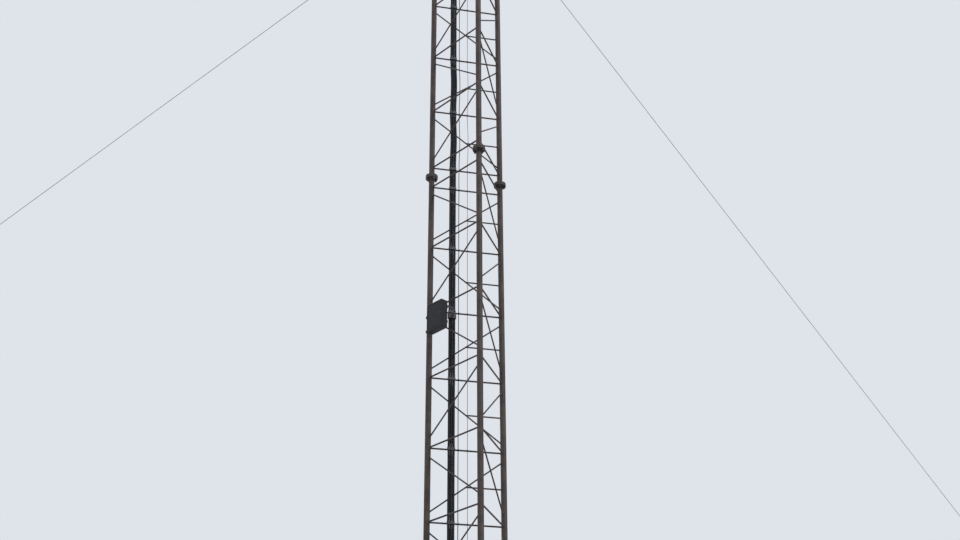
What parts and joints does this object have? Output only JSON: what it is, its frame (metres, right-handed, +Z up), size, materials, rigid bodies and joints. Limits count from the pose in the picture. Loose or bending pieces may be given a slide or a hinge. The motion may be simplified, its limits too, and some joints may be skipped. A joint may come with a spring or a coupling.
{
  "type": "stayed triangular lattice radio mast",
  "caption": "Slender triangular lattice mast of tube legs and round bars in flanged sections, with feeder cables, a small side box and three stays to ground anchors.",
  "frame": {"origin": "centre of the base plate's underside, on the mast's axis at ground level", "axes": "+Z up along the mast, -Y towards the front leg, +X towards the right leg's side"},
  "size_m": [39.381, 34.1049, 16.005],
  "materials": {
    "mast_steel": "dull weathered zinc with rust stains",
    "zinc_fittings": "dull galvanised",
    "wire_strand": "galvanised wire strand",
    "cable_jacket": "satin black jacket",
    "box_paint": "weathered dark grey paint",
    "bare_metal": "dull bare metal"
  },
  "bodies": {
    "root": {"base_plate": "mast_steel", "cable_connectors": "bare_metal", "cable_duct": "mast_steel", "cable_tap": "zinc_fittings", "earth_wire": "wire_strand", "equipment_box": "box_paint", "equipment_box_conduit": "zinc_fittings", "equipment_box_door": "box_paint", "equipment_box_rails": "mast_steel", "feeder_cables": "cable_jacket", "feeder_cleats": "zinc_fittings", "front_anchor": "mast_steel", "front_stay": "wire_strand", "head_plate": "mast_steel", "left_anchor": "mast_steel", "left_stay": "wire_strand", "lightning_rod": "bare_metal", "lower_back_lattice": "mast_steel", "lower_flanges": "mast_steel", "lower_front_leg": "mast_steel", "lower_left_lattice": "mast_steel", "lower_left_leg": "mast_steel", "lower_right_lattice": "mast_steel", "lower_right_leg": "mast_steel", "middle_back_lattice": "mast_steel", "middle_flanges": "mast_steel", "middle_front_leg": "mast_steel", "middle_left_lattice": "mast_steel", "middle_left_leg": "mast_steel", "middle_right_lattice": "mast_steel", "middle_right_leg": "mast_steel", "right_anchor": "mast_steel", "right_stay": "wire_strand", "stay_lugs": "mast_steel", "stay_shackles": "zinc_fittings", "stay_thimbles": "zinc_fittings", "thin_cable": "cable_jacket", "turnbuckle_barrels": "zinc_fittings", "turnbuckle_jaws": "zinc_fittings", "turnbuckle_pins": "zinc_fittings", "upper_back_lattice": "mast_steel", "upper_flanges": "mast_steel", "upper_front_leg": "mast_steel", "upper_left_lattice": "mast_steel", "upper_left_leg": "mast_steel", "upper_right_lattice": "mast_steel", "upper_right_leg": "mast_steel"}
  },
  "joints": []
}
